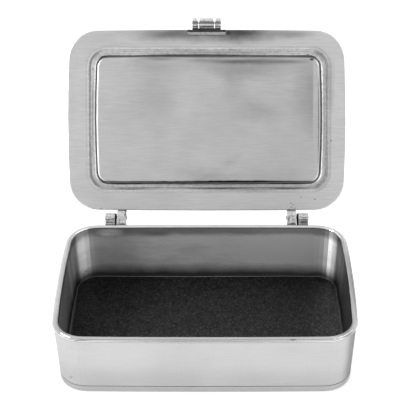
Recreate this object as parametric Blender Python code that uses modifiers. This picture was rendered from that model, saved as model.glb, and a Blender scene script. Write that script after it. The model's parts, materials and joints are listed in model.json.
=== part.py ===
"""A hand-made pewter box with a hinged lid, shown open.

The box is 150 mm long. Its drafted wall stands on a base plate with an upturned edge, and a
moulded rim is let on to the wall's top. The lid is a moulded frame with a flat panel let into
its underside. It swings on two small knuckle hinges at the back, and a latch tongue swings on
a third hinge at the lid's front edge. Units are metres, +Z is up, +Y is the hinge side and the
origin is the middle of the base's underside.
"""

import math

import bmesh
import bpy
from mathutils import Matrix, Vector

# Clearances
seat_gap = 0.0003
cut_overrun = 0.002

# Plan of the box, measured over the rim
rim_length = 0.1500
rim_depth = 0.0968
rim_corner_radius = 0.0160
short_side_bow = 0.0007
long_side_bow = 0.0004
corner_steps = 8
side_steps = 4

# Rim moulding
rim_top = 0.0350
rim_width = 0.0028
rim_height = 0.0021
rim_inner_height = 0.0010
rim_lap = 0.0014
rim_bead_rise = 0.0009
rim_lower_bead = 0.0006
rim_groove_depth = 0.0004

# Wall
wall_overhang = 0.0005
wall_thickness = 0.0020
wall_draft = 0.0014

# Base plate
base_floor = 0.0018
base_band_height = 0.0038
base_band_thickness = 0.0009
base_edge_round = 0.0013

# Leather lining
leather_thickness = 0.0014
leather_margin = 0.0006
leather_edge_round = 0.0004

# Lid frame
lid_overhang = 0.0001
lid_corner_radius = 0.0162
lid_flange_thickness = 0.0020
lid_edge_round = 0.0006
moulding_outer_inset = 0.0112
cove_width = 0.0012
bead_width = 0.0022
ledge_width = 0.0036
ledge_thickness = 0.0011
cove_depth = 0.0004
bead_drop = 0.0003
bead_inner_drop = 0.0006
step_width = 0.0017
moulding_extra_length = 0.0008
moulding_extra_depth = 0.0009
moulding_shift_right = 0.0010
moulding_shift_front = 0.00045
panel_corner_radius = 0.0060

# Lid panel
panel_thickness = 0.0021
panel_rise = 0.0003
panel_crevice = 0.0005
panel_edge_width = 0.0013
panel_edge_height = 0.0010

# Rear hinges
hinge_setback = 0.0039
hinge_rise = 0.00115
hinge_spacing_share = 0.65
hinge_radius = 0.0025
hinge_split = 0.0011
hinge_collar_inset = 0.0003
box_knuckle_width = 0.0053
lid_knuckle_width = 0.0050
hinge_foot_drop = 0.0048
hinge_leaf_thickness = 0.0010
hinge_leaf_reach = 0.0065
hinge_edge_round = 0.0003
hinge_heel_height = 0.0020
hinge_pin_radius = 0.0010
pin_clearance = 0.0003
pin_proud = 0.0003
lid_open_angle = math.radians(121)

# Latch at the lid's front edge
latch_setback = 0.0037
latch_radius = 0.0025
latch_width = 0.0152
latch_knuckle_width = 0.0032
latch_split = 0.0004
latch_cut_width = 0.0010
latch_cut_depth = 0.0036
latch_plate_width = 0.0204
latch_plate_depth = 0.0028
latch_plate_thickness = 0.0010
latch_plate_corner = 0.0014
latch_bar_width = 0.0014
latch_bar_height = 0.0004
latch_pin_radius = 0.0005
tongue_length = 0.0132
tongue_thickness = 0.0013
tongue_clearance = 0.0005
tongue_catch_overlap = 0.0002
tongue_catch_radius = 0.0004
tongue_lip_length = 0.0032
tongue_lip_flare = 0.0013
tongue_tip_width = 0.0058
tongue_taper = 0.0005
tongue_shoulder_width = 0.0098
tongue_shoulder_clearance = 0.0004

# Facets of round pieces
barrel_steps = 24
arc_steps = 6
bevel_segments = 2

# Heights and places that follow from the sizes above
leather_underside = base_floor + seat_gap
wall_foot = base_floor + seat_gap
wall_shoulder = base_band_height + seat_gap
wall_top_outside = rim_top - rim_height - seat_gap
wall_top_inside = rim_top - rim_inner_height - seat_gap
lid_length = rim_length + 2 * lid_overhang
lid_depth = rim_depth + 2 * lid_overhang
lid_underside = rim_top + seat_gap
lid_flange_top = lid_underside + lid_flange_thickness
panel_underside = lid_underside - panel_rise
bead_inset = moulding_outer_inset + cove_width
panel_inset = bead_inset + bead_width
hinge_spacing = rim_length * hinge_spacing_share
hinge_axis = Vector((0, rim_depth / 2 + hinge_setback, rim_top + hinge_rise))
latch_axis = Vector((0, -lid_depth / 2 - latch_setback, rim_top + hinge_rise))

for old in list(bpy.data.objects):
    bpy.data.objects.remove(old, do_unlink=True)
parts = bpy.data.collections.new("lidded_pewter_box")
cutters = bpy.data.collections.new("cutters")
for collection in (parts, cutters):
    bpy.context.scene.collection.children.link(collection)


# Materials

def metal(name, colour, roughness):
    material = bpy.data.materials.new(name)
    material.use_nodes = True
    shader = material.node_tree.nodes["Principled BSDF"]
    shader.inputs["Base Color"].default_value = (*colour, 1)
    shader.inputs["Metallic"].default_value = 1
    shader.inputs["Roughness"].default_value = roughness
    material.diffuse_color = (*colour, 1)
    return material


def leather(name, colour, roughness):
    material = metal(name, colour, roughness)
    material.node_tree.nodes["Principled BSDF"].inputs["Metallic"].default_value = 0
    return material


# Outlines in plan

def rounded_outline(length, depth, radius):
    """Points round a rectangle with round corners and slightly bowed sides, anticlockwise."""
    centre_x = length / 2 - short_side_bow - radius
    centre_y = depth / 2 - long_side_bow - radius
    corners = []
    for quarter, (side_x, side_y) in enumerate(((1, 1), (-1, 1), (-1, -1), (1, -1))):
        centre = Vector((side_x * centre_x, side_y * centre_y))
        angles = [(quarter + step / corner_steps) * math.pi / 2 for step in range(corner_steps + 1)]
        corners.append([centre + radius * Vector((math.cos(a), math.sin(a))) for a in angles])
    points = []
    for quarter, corner in enumerate(corners):
        points += corner
        start, end = corner[-1], corners[(quarter + 1) % 4][0]
        facing = (quarter + 1) * math.pi / 2
        outward = Vector((math.cos(facing), math.sin(facing)))
        bow = short_side_bow if quarter % 2 else long_side_bow
        for step in range(1, side_steps):
            t = step / side_steps
            points.append(start.lerp(end, t) + outward * bow * 4 * t * (1 - t))
    return points


def box_outline(inset):
    """The rim's outline, moved inwards all round."""
    return rounded_outline(rim_length - 2 * inset, rim_depth - 2 * inset, rim_corner_radius - inset)


def lid_outline(inset, radius):
    """The lid's outline, moved inwards. The moulding stands a little to the right and to the front."""
    share = min(inset / moulding_outer_inset, 1)
    extra = Vector((moulding_extra_length, moulding_extra_depth)) * share
    centre = Vector((moulding_shift_right, -moulding_shift_front)) * share
    outline = rounded_outline(lid_length - 2 * inset + extra.x, lid_depth - 2 * inset + extra.y, radius)
    return [centre + point for point in outline]


def latch_outline(margin, front):
    """The latch plate's outline in plan, from a front edge to the two round corners behind."""
    half = latch_plate_width / 2 + margin
    back = -lid_depth / 2 + latch_plate_depth + margin
    radius = latch_plate_corner + margin
    corner_x, corner_y = half - radius, back - radius
    outline = [Vector((-half, front)), Vector((half, front))]
    outline += arc((corner_x, corner_y), radius, radius, 0, 90, arc_steps)
    outline += arc((-corner_x, corner_y), radius, radius, 90, 180, arc_steps)
    return outline


def wall_inset(height):
    """How far the wall's outer face lies inside the rim's outline at a height."""
    return wall_overhang + wall_draft * (rim_top - height) / rim_top


def arc(centre, radius_x, radius_y, start, end, steps):
    """Points of an elliptical arc, with its angles in degrees."""
    angles = [math.radians(start + (end - start) * step / steps) for step in range(steps + 1)]
    return [Vector((centre[0] + radius_x * math.cos(a), centre[1] + radius_y * math.sin(a))) for a in angles]


def curve_between(start, pull, end, steps):
    """Points of a quadratic curve from start to end, drawn towards pull."""
    start, pull, end = Vector(start), Vector(pull), Vector(end)
    shares = [step / steps for step in range(steps + 1)]
    return [start * (1 - t) ** 2 + pull * 2 * t * (1 - t) + end * t**2 for t in shares]


# Making solids

def flat_curve(name, outlines):
    """A 2D curve object with one closed polygon for each outline."""
    curve = bpy.data.curves.new(name, "CURVE")
    curve.dimensions = "2D"
    for outline in outlines:
        spline = curve.splines.new("POLY")
        spline.points.add(len(outline) - 1)
        for point, place in zip(spline.points, outline):
            point.co = (place[0], place[1], 0, 1)
        spline.use_cyclic_u = True
    return bpy.data.objects.new(name, curve)


def as_mesh(source, collection=parts):
    """The curve object made a welded mesh object with its faces outwards."""
    name = source.name
    cutters.objects.link(source)
    bpy.context.view_layer.update()
    graph = bpy.context.evaluated_depsgraph_get()
    mesh = bpy.data.meshes.new_from_object(source.evaluated_get(graph))
    place = source.matrix_world.copy()
    bpy.data.objects.remove(source, do_unlink=True)
    work = bmesh.new()
    work.from_mesh(mesh)
    bmesh.ops.remove_doubles(work, verts=work.verts, dist=seat_gap / 100)
    bmesh.ops.transform(work, matrix=place, verts=work.verts)
    bmesh.ops.recalc_face_normals(work, faces=work.faces)
    work.to_mesh(mesh)
    work.free()
    mesh.name = name
    result = bpy.data.objects.new(name, mesh)
    collection.objects.link(result)
    return result


def plate(name, outlines, low, high, collection=parts):
    """A flat plate between two heights. A second outline is a hole."""
    source = flat_curve(name, outlines)
    source.data.fill_mode = "BOTH"
    source.data.extrude = (high - low) / 2
    source.location.z = (high + low) / 2
    return as_mesh(source, collection)


def swept(name, path, profile):
    """A closed moulding: the profile, in inset and height, is carried round the path."""
    section = flat_curve(name + "_section", [[(inset, height) for inset, height in profile]])
    cutters.objects.link(section)
    source = flat_curve(name, [path])
    source.data.fill_mode = "NONE"
    source.data.bevel_mode = "OBJECT"
    source.data.bevel_object = section
    result = as_mesh(source)
    bpy.data.objects.remove(section, do_unlink=True)
    return result


def lofted(name, rings, capped):
    """Rings of points, each joined to the next. The end rings are filled in, or else joined."""
    mesh = bpy.data.meshes.new(name)
    work = bmesh.new()
    rows = [[work.verts.new(point) for point in ring] for ring in rings]
    for row, following in zip(rows, rows[1:] if capped else rows[1:] + rows[:1]):
        for i, corner in enumerate(row):
            j = (i + 1) % len(row)
            work.faces.new((corner, row[j], following[j], following[i]))
    if capped:
        work.faces.new(rows[0])
        work.faces.new(rows[-1])
    bmesh.ops.recalc_face_normals(work, faces=work.faces)
    work.to_mesh(mesh)
    work.free()
    result = bpy.data.objects.new(name, mesh)
    parts.objects.link(result)
    return result


def side_piece(name, profile, middle, width, centre, collection=parts):
    """A side profile, in Y and Z from centre, made as thick as width along X."""
    source = flat_curve(name, [profile])
    source.data.fill_mode = "BOTH"
    source.data.extrude = width / 2
    turn = Matrix(((0, 0, 1), (1, 0, 0), (0, 1, 0))).to_4x4()
    source.matrix_world = Matrix.Translation(centre + Vector((middle, 0, 0))) @ turn
    return as_mesh(source, collection)


def block(name, low, high):
    """A box-shaped cutter between two corners."""
    mesh = bpy.data.meshes.new(name)
    work = bmesh.new()
    middle = (Vector(low) + Vector(high)) / 2
    size = Vector(high) - Vector(low)
    bmesh.ops.create_cube(work, size=1, matrix=Matrix.Translation(middle) @ Matrix.Diagonal((*size, 1)))
    work.to_mesh(mesh)
    work.free()
    result = bpy.data.objects.new(name, mesh)
    cutters.objects.link(result)
    return as_helper(result)


def rod(name, radius, length, centre, collection=parts):
    """A cylinder along X."""
    mesh = bpy.data.meshes.new(name)
    work = bmesh.new()
    turn = Matrix.Translation(centre) @ Matrix.Rotation(math.pi / 2, 4, "Y")
    bmesh.ops.create_cone(
        work, cap_ends=True, segments=barrel_steps, radius1=radius, radius2=radius, depth=length, matrix=turn
    )
    work.to_mesh(mesh)
    work.free()
    result = bpy.data.objects.new(name, mesh)
    collection.objects.link(result)
    return result


def as_helper(tool):
    tool.hide_render = True
    tool.display_type = "WIRE"
    return tool


def boolean(target, tool, operation):
    modifier = target.modifiers.new(operation.title(), "BOOLEAN")
    modifier.operation = operation
    modifier.object = as_helper(tool)


def soften(target, width, angle=40):
    """Rounds the edges that turn by more than an angle."""
    modifier = target.modifiers.new("Soft edges", "BEVEL")
    modifier.width = width
    modifier.segments = bevel_segments
    modifier.limit_method = "ANGLE"
    modifier.angle_limit = math.radians(angle)


def finish(target, material, smooth_angle=35):
    target.data.materials.append(material)
    target.data.shade_smooth()
    target.data.set_sharp_from_angle(angle=math.radians(smooth_angle))
    return target


def hang_on(pivot, pieces):
    """Pieces modelled with the lid shut, and their cutters, are parented to the empty on their axis."""
    for piece in pieces:
        tools = [modifier.object for modifier in piece.modifiers if modifier.type == "BOOLEAN"]
        for child in [piece] + tools:
            child.parent = pivot
            child.matrix_parent_inverse = Matrix.Translation(-pivot.location)


def pivot_at(name, place):
    pivot = bpy.data.objects.new(name, None)
    pivot.location = place
    parts.objects.link(pivot)
    return pivot


# Box

def make_base_plate():
    seam_inset = wall_inset(base_band_height)
    section = arc((seam_inset + base_edge_round, base_edge_round), -base_edge_round, -base_edge_round, 90, 0, 4)
    section.append(Vector((seam_inset, base_band_height)))
    section.append(Vector((seam_inset + base_band_thickness, base_band_height)))
    section.append(Vector((seam_inset + base_band_thickness, base_floor)))
    rings = [[(x, y, height) for x, y in box_outline(inset)] for inset, height in section]
    base = lofted("base_plate", rings, True)
    return finish(base, metal("pewter_base", (0.58, 0.57, 0.55), 0.34))


def make_body_wall():
    skirt_inset = wall_inset(wall_shoulder) + base_band_thickness + seat_gap
    profile = [
        (wall_inset(wall_top_outside), wall_top_outside),
        (wall_inset(wall_shoulder), wall_shoulder),
        (skirt_inset, wall_shoulder),
        (skirt_inset, wall_foot),
        (wall_inset(wall_foot) + wall_thickness, wall_foot),
        (wall_inset(wall_top_inside) + wall_thickness, wall_top_inside),
        (rim_lap + seat_gap, wall_top_inside),
        (rim_lap + seat_gap, wall_top_outside),
    ]
    wall = swept("body_wall", box_outline(0), profile)
    return finish(wall, metal("pewter_wall", (0.60, 0.59, 0.57), 0.30))


def make_body_rim():
    bead_half = (rim_width - rim_groove_depth) / 2
    bead_base = rim_top - rim_bead_rise
    bead = arc((rim_groove_depth + bead_half, bead_base), bead_half, rim_bead_rise, 0, 180, 2 * arc_steps)
    lower_centre = (rim_groove_depth, rim_top - rim_height + rim_lower_bead)
    lower_bead = arc(lower_centre, -rim_groove_depth, rim_lower_bead, 90, -90, arc_steps)
    profile = bead + lower_bead
    profile += [
        Vector((rim_lap, rim_top - rim_height)),
        Vector((rim_lap, rim_top - rim_inner_height)),
        Vector((rim_width, rim_top - rim_inner_height)),
    ]
    rim = swept("body_rim", box_outline(0), profile)
    return finish(rim, metal("pewter_rim", (0.66, 0.65, 0.63), 0.24))


def make_floor_leather():
    height = leather_underside + leather_thickness
    edge = wall_inset(leather_underside) + wall_thickness + leather_margin
    lining = plate("floor_leather", [box_outline(edge)], leather_underside, height)
    soften(lining, leather_edge_round)
    return finish(lining, leather("black_leather", (0.018, 0.018, 0.019), 0.55))


# Lid

def make_lid_frame():
    """Closed rings lofted from the flange's edge to the ledge, with tighter corners inwards."""
    ledge_underside = panel_underside + panel_thickness + seat_gap
    ledge_top = ledge_underside + ledge_thickness
    crest_inset = bead_inset + bead_width / 2
    step_half = step_width / 2
    rise = (ledge_top - lid_flange_top) / 2
    section = arc((lid_edge_round, lid_underside + lid_edge_round), lid_edge_round, lid_edge_round, 180, 270, 2)
    section += arc((moulding_outer_inset + cove_width / 2, lid_underside), -cove_width / 2, cove_depth, 0, 180, 5)
    section += arc((crest_inset, lid_underside), -bead_width / 2, -bead_drop, 0, 90, 5)[1:]
    inner_edge = lid_underside + bead_inner_drop
    section += arc((crest_inset, inner_edge), bead_width / 2, -bead_drop - bead_inner_drop, 90, 0, 6)[1:]
    section.append(Vector((panel_inset, ledge_underside)))
    section.append(Vector((panel_inset + ledge_width, ledge_underside)))
    section += arc(
        (panel_inset + ledge_width - lid_edge_round, ledge_top - lid_edge_round),
        lid_edge_round, lid_edge_round, 0, 90, 2
    )
    section += arc((crest_inset, ledge_top - rise), -step_half, rise, 90, 0, 3)
    section += arc((crest_inset - step_width, lid_flange_top + rise), step_half, -rise, 0, 90, 3)[1:]
    section += arc((lid_edge_round, lid_flange_top - lid_edge_round), lid_edge_round, lid_edge_round, 90, 180, 2)
    rings = []
    for inset, height in section:
        share = min(inset / panel_inset, 1)
        radius = lid_corner_radius + (panel_corner_radius - lid_corner_radius) * share
        inner_radius = radius - max(inset - panel_inset, 0)
        rings.append([(x, y, height) for x, y in lid_outline(inset, inner_radius)])
    frame = lofted("lid_frame", rings, False)
    rabbet = latch_outline(seat_gap, -lid_depth / 2 - cut_overrun)
    rabbet_low = lid_underside - cut_overrun
    rabbet_high = lid_underside + latch_plate_thickness + seat_gap
    boolean(frame, plate("latch_rabbet", [rabbet], rabbet_low, rabbet_high, cutters), "DIFFERENCE")
    return finish(frame, metal("pewter_lid", (0.60, 0.59, 0.57), 0.36))


def make_lid_panel():
    """A flat panel that fills its frame. Its edge is rounded over on the underside."""
    round_centre = (panel_edge_width, panel_underside + panel_edge_height)
    section = arc(round_centre, panel_edge_width, -panel_edge_height, 90, 180, arc_steps)
    section.append(Vector((0, panel_underside + panel_thickness)))
    rings = []
    for inset, height in section:
        inset += panel_crevice
        outline = lid_outline(panel_inset + inset, panel_corner_radius - inset)
        rings.append([(x, y, height) for x, y in outline])
    panel = lofted("lid_panel", rings, True)
    return finish(panel, metal("pewter_panel", (0.58, 0.57, 0.55), 0.38))


# Rear hinges

def bored(knuckle, pin_radius, width, centre):
    bore = rod(knuckle.name + "_bore", pin_radius + pin_clearance, width + 2 * cut_overrun, centre, cutters)
    boolean(knuckle, bore, "DIFFERENCE")


def rim_behind(x):
    """Where the rim's back edge lies from the hinge axis, in Y."""
    straight_half = rim_length / 2 - short_side_bow - rim_corner_radius
    return rim_depth / 2 - long_side_bow * (x / straight_half) ** 2 - hinge_axis.y


def box_knuckle_profile(middle, inset):
    """A barrel with a foot that sits behind the rim and steps in beneath it on to the wall."""
    radius = hinge_radius - inset
    seat = rim_behind(middle) + seat_gap + inset
    shoulder = -hinge_rise - seat_gap - inset
    step = rim_top - rim_height - seat_gap
    foot = rim_top - hinge_foot_drop + inset
    start = 180 + math.degrees(math.asin(-shoulder / radius))
    profile = arc((0, 0), radius, radius, -90, start, barrel_steps)
    profile.append(Vector((seat, shoulder)))
    profile.append(Vector((seat, step - hinge_axis.z)))
    profile.append(Vector((seat - wall_inset(step), step - hinge_axis.z)))
    toe = (seat - wall_inset(foot), foot - hinge_axis.z)
    profile += curve_between(toe, (seat / 2, -radius), (0, -radius), arc_steps)[:-1]
    return profile


def make_box_knuckle(side, middle, inwards):
    """The knuckle, with a slimmer collar of the same shape that keeps the lid's knuckle off it."""
    profile = box_knuckle_profile(middle, 0)
    knuckle = side_piece(f"box_knuckle_{side}", profile, middle, box_knuckle_width, hinge_axis)
    soften(knuckle, hinge_edge_round)
    collar_length = box_knuckle_width / 3 + hinge_split - seat_gap
    collar_end = box_knuckle_width / 2 + hinge_split - seat_gap
    collar_middle = middle + inwards * (collar_end - collar_length / 2)
    slimmer = box_knuckle_profile(middle, hinge_collar_inset)
    boolean(knuckle, side_piece(f"collar_{side}", slimmer, collar_middle, collar_length, hinge_axis, cutters), "UNION")
    bored(knuckle, hinge_pin_radius, box_knuckle_width, hinge_axis + Vector((middle, 0, 0)))
    return finish(knuckle, metal(f"pewter_box_knuckle_{side}", (0.62, 0.61, 0.59), 0.30))


def make_lid_knuckle(side, middle):
    """A barrel with a leaf over the lid's back edge, a neck before it and a heel that stops the lid."""
    leaf_low = lid_flange_top + seat_gap - hinge_axis.z
    leaf_high = leaf_low + hinge_leaf_thickness
    leaf_end = -(hinge_setback - lid_overhang) - hinge_leaf_reach
    neck = Vector((-(hinge_setback - lid_overhang) + seat_gap, lid_underside - hinge_axis.z))
    neck_slant = math.degrees(math.atan2(neck.y, neck.x) + math.acos(hinge_radius / neck.length))
    heel_face = rim_behind(middle) + seat_gap
    heel_turn = Matrix.Rotation(lid_open_angle, 2)
    heel_top = heel_turn @ Vector((heel_face, -hinge_rise))
    heel_foot = heel_turn @ Vector((heel_face, -hinge_rise - hinge_heel_height))
    profile = [Vector((0, hinge_radius)), Vector((leaf_end + hinge_leaf_thickness / 2, leaf_high))]
    profile += [Vector((leaf_end, leaf_high - hinge_leaf_thickness / 2)), Vector((leaf_end, leaf_low))]
    profile += [Vector((neck.x, leaf_low)), neck]
    profile += arc((0, 0), hinge_radius, hinge_radius, neck_slant, -80, arc_steps)
    profile += [heel_top, heel_foot]
    profile += arc((0, 0), hinge_radius, hinge_radius, -10, 90, arc_steps * 2)[:-1]
    knuckle = side_piece(f"lid_knuckle_{side}", profile, middle, lid_knuckle_width, hinge_axis)
    soften(knuckle, hinge_edge_round)
    bored(knuckle, hinge_pin_radius, lid_knuckle_width, hinge_axis + Vector((middle, 0, 0)))
    return finish(knuckle, metal(f"pewter_lid_knuckle_{side}", (0.62, 0.61, 0.59), 0.30))


def make_pin(name, radius, length, centre):
    pin = rod(name, radius, length, centre)
    soften(pin, radius / 3)
    return finish(pin, metal(name + "_metal", (0.56, 0.55, 0.53), 0.28))


def make_rear_hinge(side, sign):
    """The box knuckle lies outside and the lid knuckle inside. Returns the piece that the lid carries."""
    split = sign * hinge_spacing / 2
    box_middle = split + sign * (hinge_split + box_knuckle_width) / 2
    lid_middle = split - sign * (hinge_split + lid_knuckle_width) / 2
    make_box_knuckle(side, box_middle, -sign)
    length = box_knuckle_width + hinge_split + lid_knuckle_width + 2 * pin_proud
    pin_middle = split + sign * (box_knuckle_width - lid_knuckle_width) / 2
    make_pin(f"hinge_pin_{side}", hinge_pin_radius, length, hinge_axis + Vector((pin_middle, 0, 0)))
    return make_lid_knuckle(side, lid_middle)


# Latch

def make_latch_plate():
    """Two barrels on necks, and a plate let into the lid's underside with a raised bar round its back."""
    front = -lid_depth / 2
    plate_top = lid_underside + latch_plate_thickness
    sunk = lid_underside + latch_bar_height
    latch = plate("latch_plate", [latch_outline(0, front)], lid_underside, plate_top)
    boolean(latch, block(
        "latch_sunk_part",
        (latch_bar_width - latch_plate_width / 2, front - cut_overrun, lid_underside - cut_overrun),
        (latch_plate_width / 2 - latch_bar_width, front + latch_plate_depth - latch_bar_width, sunk),
    ), "DIFFERENCE")
    neck_low = sunk - latch_axis.z
    neck_high = plate_top - latch_axis.z
    neck_end = latch_setback + (latch_plate_depth - latch_bar_width) / 2
    stub_high = lid_flange_top - latch_axis.z
    stub_end = latch_setback - seat_gap
    barrel_start = math.degrees(math.asin(stub_high / latch_radius))
    barrel_end = 360 + math.degrees(math.asin(neck_low / latch_radius))
    profile = arc((0, 0), latch_radius, latch_radius, barrel_start, barrel_end, barrel_steps)
    profile += [Vector((neck_end, neck_low)), Vector((neck_end, neck_high))]
    profile += [Vector((stub_end, neck_high)), Vector((stub_end, stub_high))]
    barrel_front = latch_axis.y - latch_radius
    cut_width = latch_cut_width * (latch_cut_depth + cut_overrun) / latch_cut_depth
    cut_high = latch_axis.z + latch_radius + cut_overrun
    cut_low = latch_axis.z - latch_radius - cut_overrun
    for sign, side in ((-1, "left"), (1, "right")):
        middle = sign * (latch_width - latch_knuckle_width) / 2
        knuckle = side_piece(f"latch_knuckle_{side}", profile, middle, latch_knuckle_width, latch_axis, cutters)
        soften(knuckle, hinge_edge_round)
        boolean(latch, knuckle, "UNION")
        inner = sign * (latch_width / 2 - latch_knuckle_width - latch_split / 2)
        wedge = [
            (inner, barrel_front + latch_cut_depth), (inner, barrel_front - cut_overrun),
            (inner + sign * cut_width, barrel_front - cut_overrun),
        ]
        boolean(latch, plate(f"latch_cut_{side}", [wedge], cut_low, cut_high, cutters), "DIFFERENCE")
    bored(latch, latch_pin_radius, latch_width, latch_axis)
    return finish(latch, metal("pewter_latch_plate", (0.64, 0.63, 0.61), 0.28))


def make_latch_tongue():
    """A barrel with a flat tongue that hangs in front of the wall, with a catch under the rim."""
    inner = latch_setback + lid_overhang - tongue_clearance
    outer = inner - tongue_thickness
    width = latch_width - 2 * (latch_knuckle_width + latch_split)
    catch_reach = latch_setback + lid_overhang + tongue_catch_overlap
    catch_height = rim_top - rim_height - latch_axis.z - seat_gap - tongue_catch_radius
    lip_start = -tongue_length + tongue_lip_length
    catch = arc((inner, catch_height), catch_reach - inner, tongue_catch_radius, 90, -90, arc_steps)
    outer_joins = -math.degrees(math.acos(outer / latch_radius))
    profile = curve_between((0, latch_radius), (inner, latch_radius), (inner, -hinge_rise), arc_steps)
    profile += catch
    lip_inner = (inner - tongue_lip_flare, -tongue_length)
    profile += curve_between((inner, lip_start), (inner, -tongue_length + tongue_thickness), lip_inner, arc_steps)
    lip_outer = (outer - tongue_lip_flare, -tongue_length + tongue_thickness / 2)
    profile += curve_between(lip_outer, (outer, -tongue_length + tongue_thickness), (outer, lip_start), arc_steps)
    profile += arc((0, 0), latch_radius, latch_radius, outer_joins, -270, barrel_steps)[:-1]
    tongue = side_piece("latch_tongue", profile, 0, tongue_shoulder_width + 2 * tongue_taper, latch_axis)
    soften(tongue, hinge_edge_round)
    tip_half = tongue_tip_width / 2
    tip_top = latch_axis.z - tongue_length + tip_half
    barrel_top = latch_axis.z + latch_radius
    barrel_low = latch_axis.z - latch_radius - tongue_shoulder_clearance
    shoulder_half = tongue_shoulder_width / 2
    top_half = width / 2 - tongue_taper
    face = [Vector((-top_half, barrel_top + cut_overrun)), Vector((-top_half, barrel_top))]
    face += [Vector((-width / 2, latch_axis.z)), Vector((-width / 2, barrel_low))]
    face.append(Vector((-shoulder_half, barrel_low - tongue_taper)))
    face += arc((0, tip_top), tip_half, tip_half, 180, 270, arc_steps)
    face += [Vector((-point.x, point.y)) for point in reversed(face[:-1])]
    source = flat_curve("tongue_face", [face])
    source.data.fill_mode = "BOTH"
    source.data.extrude = 2 * latch_radius + tongue_lip_flare
    turn = Matrix(((1, 0, 0), (0, 0, -1), (0, 1, 0))).to_4x4()
    source.matrix_world = Matrix.Translation((0, latch_axis.y, 0)) @ turn
    boolean(tongue, as_mesh(source, cutters), "INTERSECT")
    bored(tongue, latch_pin_radius, width, latch_axis)
    return finish(tongue, metal("pewter_tongue", (0.64, 0.63, 0.61), 0.28))


def hanging_turn(tongue):
    """How far the shut tongue turns on its axis, outwards and over, to hang free from the open lid."""
    bpy.context.view_layer.update()
    graph = bpy.context.evaluated_depsgraph_get()
    work = bmesh.new()
    work.from_mesh(tongue.evaluated_get(graph).to_mesh())
    bmesh.ops.triangulate(work, faces=work.faces)
    volume, moment = 0, Vector((0, 0, 0))
    for face in work.faces:
        a, b, c = (corner.co - latch_axis for corner in face.verts)
        share = a.dot(b.cross(c)) / 6
        volume += share
        moment += share * (a + b + c) / 4
    work.free()
    lean = math.atan2(moment.y / volume, -moment.z / volume)
    return -(2 * math.pi - lid_open_angle) - lean


base_plate = make_base_plate()
body_wall = make_body_wall()
body_rim = make_body_rim()
floor_leather = make_floor_leather()
lid_pieces = [make_lid_frame(), make_lid_panel()]
lid_pieces += [make_rear_hinge("left", -1), make_rear_hinge("right", 1)]
latch_plate = make_latch_plate()
pin_length = latch_width + 2 * pin_proud
latch_pin = make_pin("latch_pin", latch_pin_radius, pin_length, latch_axis)
latch_tongue = make_latch_tongue()
tongue_turn = hanging_turn(latch_tongue)

lid_pivot = pivot_at("lid_hinge_axis", hinge_axis)
latch_pivot = pivot_at("latch_hinge_axis", latch_axis)
hang_on(latch_pivot, [latch_tongue])
latch_pivot.rotation_euler.x = tongue_turn
hang_on(lid_pivot, lid_pieces + [latch_plate, latch_pin, latch_pivot])
lid_pivot.rotation_euler.x = -lid_open_angle
print(f"tongue turns {math.degrees(tongue_turn):.2f} degrees from shut to hanging")
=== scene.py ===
# %% [markdown]
# # A pewter box with a hinged lid
#
# This lesson dresses a soldered pewter box: brushed metal, a soft black leather lining, the small
# marks that a maker's hands leave, and painted light and shade. The solids come from the CAD model
# as a frame, and each cell adds one piece or one finish. Lengths are in metres, +Z is up and +Y is
# the back.

import json
import math

import bpy
from mathutils import Matrix, Vector

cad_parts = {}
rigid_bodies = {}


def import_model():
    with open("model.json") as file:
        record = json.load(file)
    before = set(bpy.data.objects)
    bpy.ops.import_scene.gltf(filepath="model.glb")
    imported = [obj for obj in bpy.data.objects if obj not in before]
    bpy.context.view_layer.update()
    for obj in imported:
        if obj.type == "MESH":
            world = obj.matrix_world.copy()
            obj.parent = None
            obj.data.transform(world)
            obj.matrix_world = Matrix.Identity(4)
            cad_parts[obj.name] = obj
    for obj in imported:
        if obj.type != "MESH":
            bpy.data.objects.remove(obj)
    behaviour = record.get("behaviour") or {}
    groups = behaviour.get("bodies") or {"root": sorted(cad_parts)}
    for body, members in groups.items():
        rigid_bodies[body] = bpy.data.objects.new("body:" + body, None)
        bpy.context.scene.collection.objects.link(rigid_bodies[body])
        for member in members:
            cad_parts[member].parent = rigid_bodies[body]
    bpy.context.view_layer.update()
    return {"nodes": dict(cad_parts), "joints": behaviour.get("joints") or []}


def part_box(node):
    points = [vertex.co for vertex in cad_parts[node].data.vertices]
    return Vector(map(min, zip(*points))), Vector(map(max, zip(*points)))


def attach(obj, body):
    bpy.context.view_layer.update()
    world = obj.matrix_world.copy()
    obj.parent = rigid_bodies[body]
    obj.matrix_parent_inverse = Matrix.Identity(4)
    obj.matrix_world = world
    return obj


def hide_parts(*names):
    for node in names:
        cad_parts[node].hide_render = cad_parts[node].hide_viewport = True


for start_object in list(bpy.data.objects):
    bpy.data.objects.remove(start_object, do_unlink=True)

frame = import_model()
nodes = frame["nodes"]
lid_joint = next(joint for joint in frame["joints"] if joint["name"] == "lid_hinge")
lid_axis = Vector(lid_joint["pos_m"])
lid_turn = math.radians(lid_joint["range_deg"][1])
shut_turn = Matrix.Rotation(lid_turn, 3, "X")

# %% [markdown]
# ## The camera
#
# The box was photographed from in front and above, with a long lens, so its sides hardly
# converge. The place and the lens were worked out from the corners of the lid and the rim. The
# box stands a little beside the picture's middle. Turning the camera would also turn the box's
# sides, so a sideways shift moves the picture and the camera stays square to the box.

# %% Camera
camera_tilt = 34.065
camera_data = bpy.data.cameras.new("camera")
camera_data.sensor_width = 36
camera_data.lens = 112.47
camera_data.shift_x = -0.0422
camera_data.shift_y = 0.0018
camera_data.clip_start = 0.01
camera = bpy.data.objects.new("camera", camera_data)
camera.location = (0.0084, -0.5168, 0.4287)
camera.rotation_euler = (math.radians(90 - camera_tilt), 0, 0)
bpy.context.scene.collection.objects.link(camera)
bpy.context.scene.camera = camera
bpy.context.scene.view_settings.view_transform = "Standard"
print(f"camera looks down by {camera_tilt:.1f} degrees")

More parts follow.
